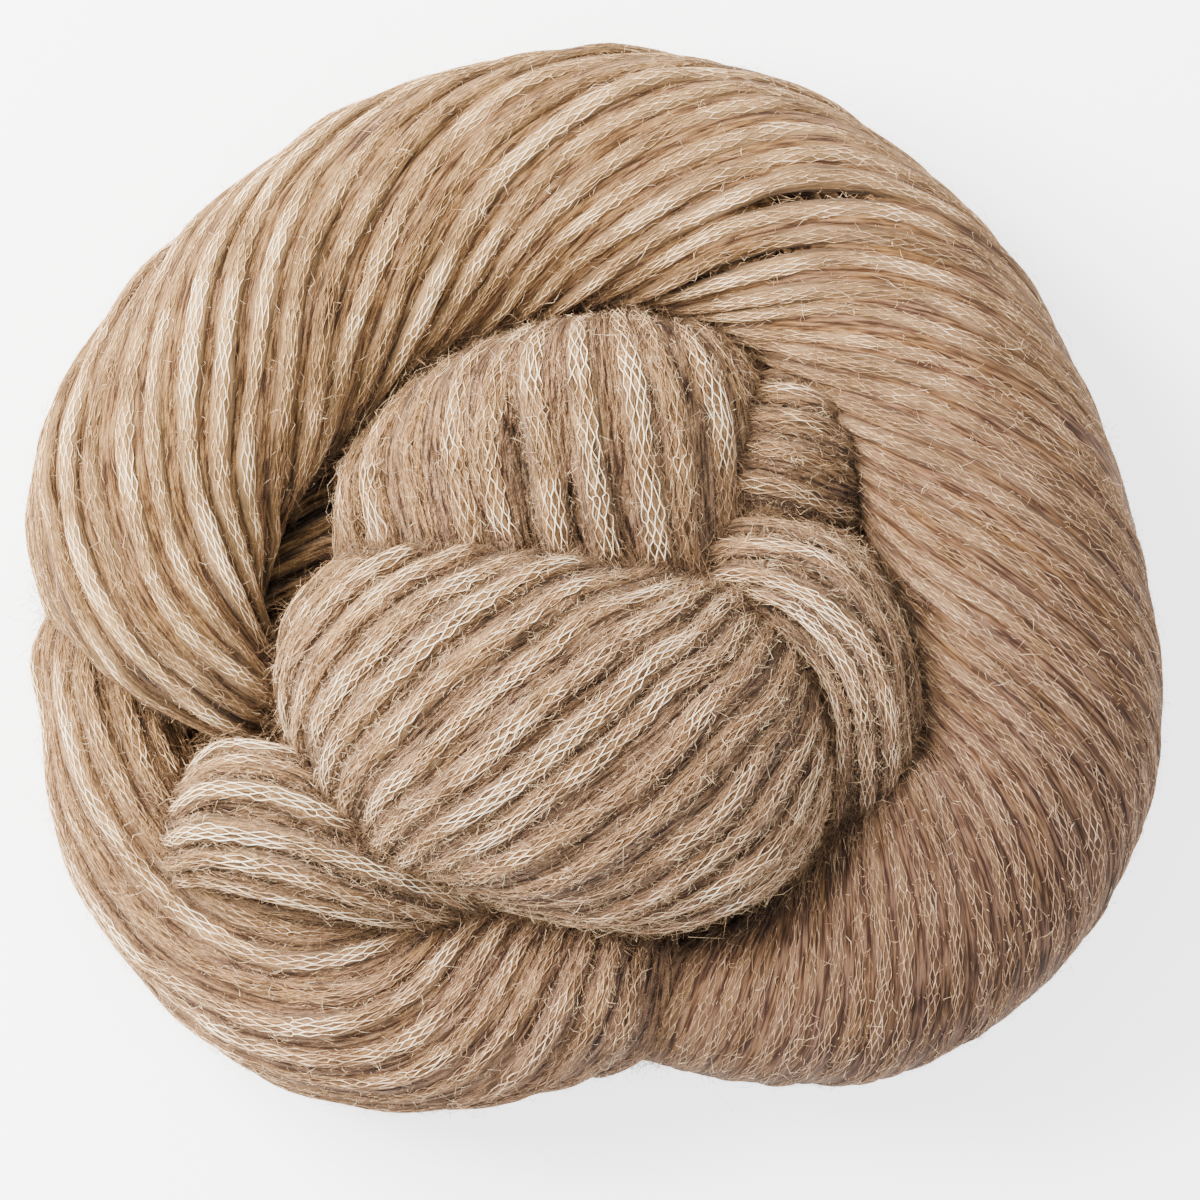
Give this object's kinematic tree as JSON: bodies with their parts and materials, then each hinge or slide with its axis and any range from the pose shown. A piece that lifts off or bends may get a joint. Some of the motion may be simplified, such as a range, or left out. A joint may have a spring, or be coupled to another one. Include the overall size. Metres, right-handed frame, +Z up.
{
  "type": "knitting yarn hank",
  "caption": "Soft brushed yarn with a fine pale net over each strand, twisted into a hank and coiled into a low round bun that rests flat.",
  "frame": {"origin": "on the surface that the hank rests on, under the middle of its outline", "axes": "+Z up from the surface, +X to the right and +Y to the back as the hank is seen from above"},
  "size_m": [0.1758, 0.1645, 0.0585],
  "materials": {
    "yarn": "brushed, soft and matt"
  },
  "bodies": {
    "root": {"hank": "yarn"}
  },
  "joints": []
}
